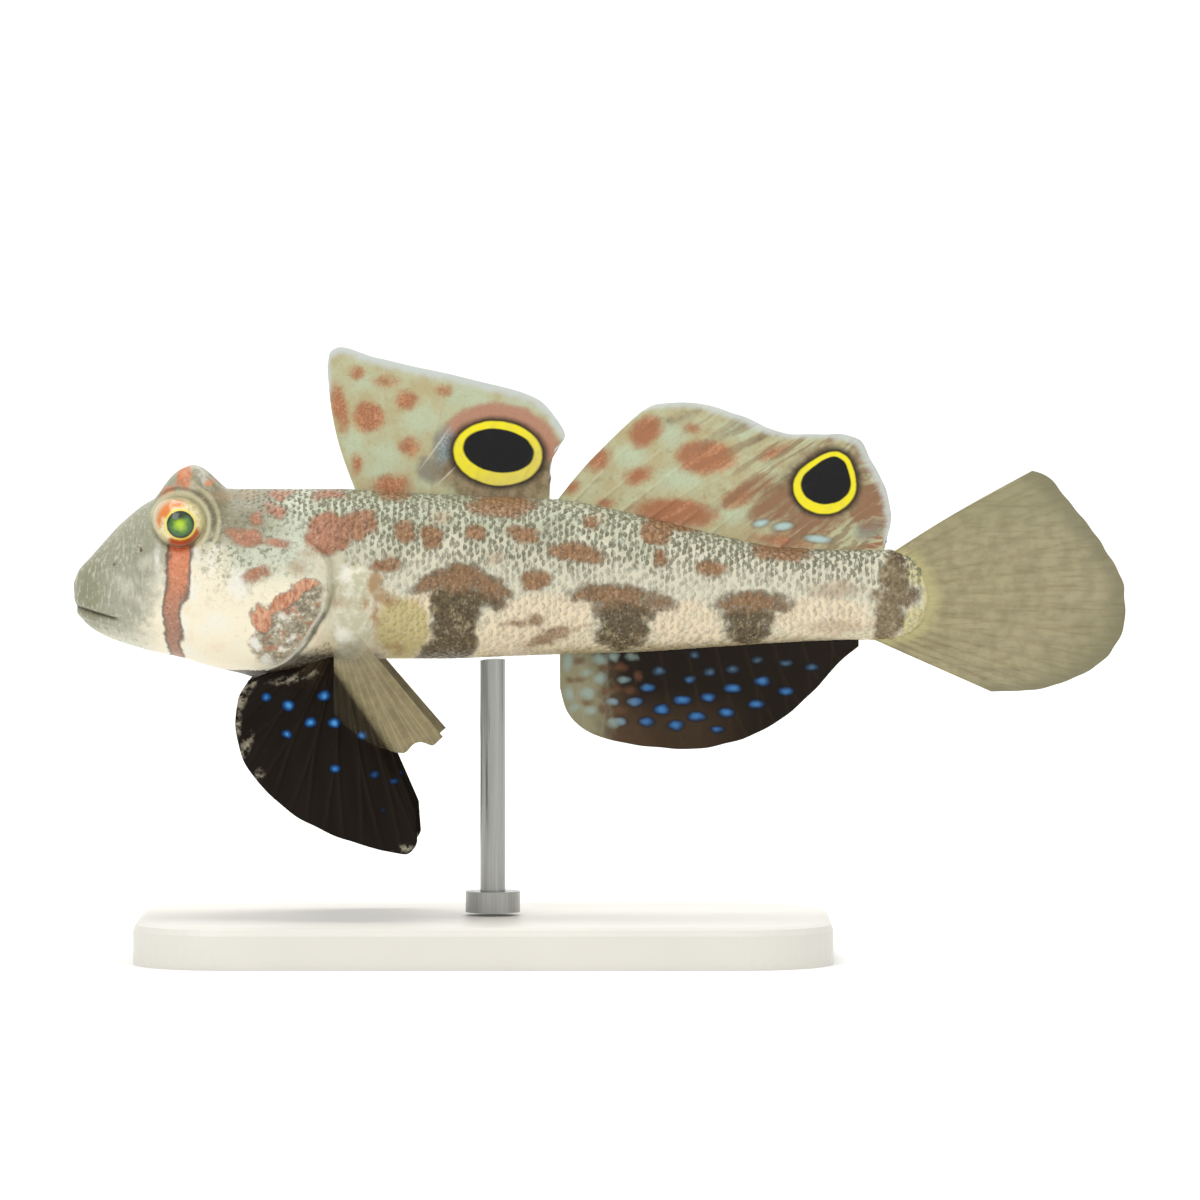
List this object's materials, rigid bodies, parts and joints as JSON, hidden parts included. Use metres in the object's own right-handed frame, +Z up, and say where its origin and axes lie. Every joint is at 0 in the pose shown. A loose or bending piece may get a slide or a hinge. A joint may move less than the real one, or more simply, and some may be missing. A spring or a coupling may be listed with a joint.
{
  "type": "reef goby model",
  "caption": "Life-size still model of a two-spot goby, swimming with every fin spread, held over a flat base by a slim rod.",
  "frame": {"origin": "on the surface the base stands on, under the middle of the fish's length and width", "axes": "+X from head to tail, +Y to the fish's right, +Z up"},
  "size_m": [0.1, 0.036, 0.0574],
  "materials": {
    "skin": "satin cream skin with rust and brown markings",
    "eye": "clear gloss over a green pupil",
    "dorsal_fins": "satin sage membrane with rust spots and a ringed eyespot",
    "dark_fins": "satin black-brown membrane with blue spots",
    "clear_fins": "satin tan membrane",
    "base": "satin pale plate",
    "rod": "satin steel"
  },
  "bodies": {
    "root": {"head": "skin", "trunk": "skin", "tail_stalk": "skin", "eye_left": "eye", "eye_right": "eye", "first_dorsal_fin": "dorsal_fins", "second_dorsal_fin": "dorsal_fins", "anal_fin": "dark_fins", "caudal_fin": "clear_fins", "pectoral_fin_left": "clear_fins", "pectoral_fin_right": "clear_fins", "pelvic_fin_left": "dark_fins", "pelvic_fin_right": "dark_fins", "stand_base": "base", "stand_rod": "rod"}
  },
  "joints": []
}
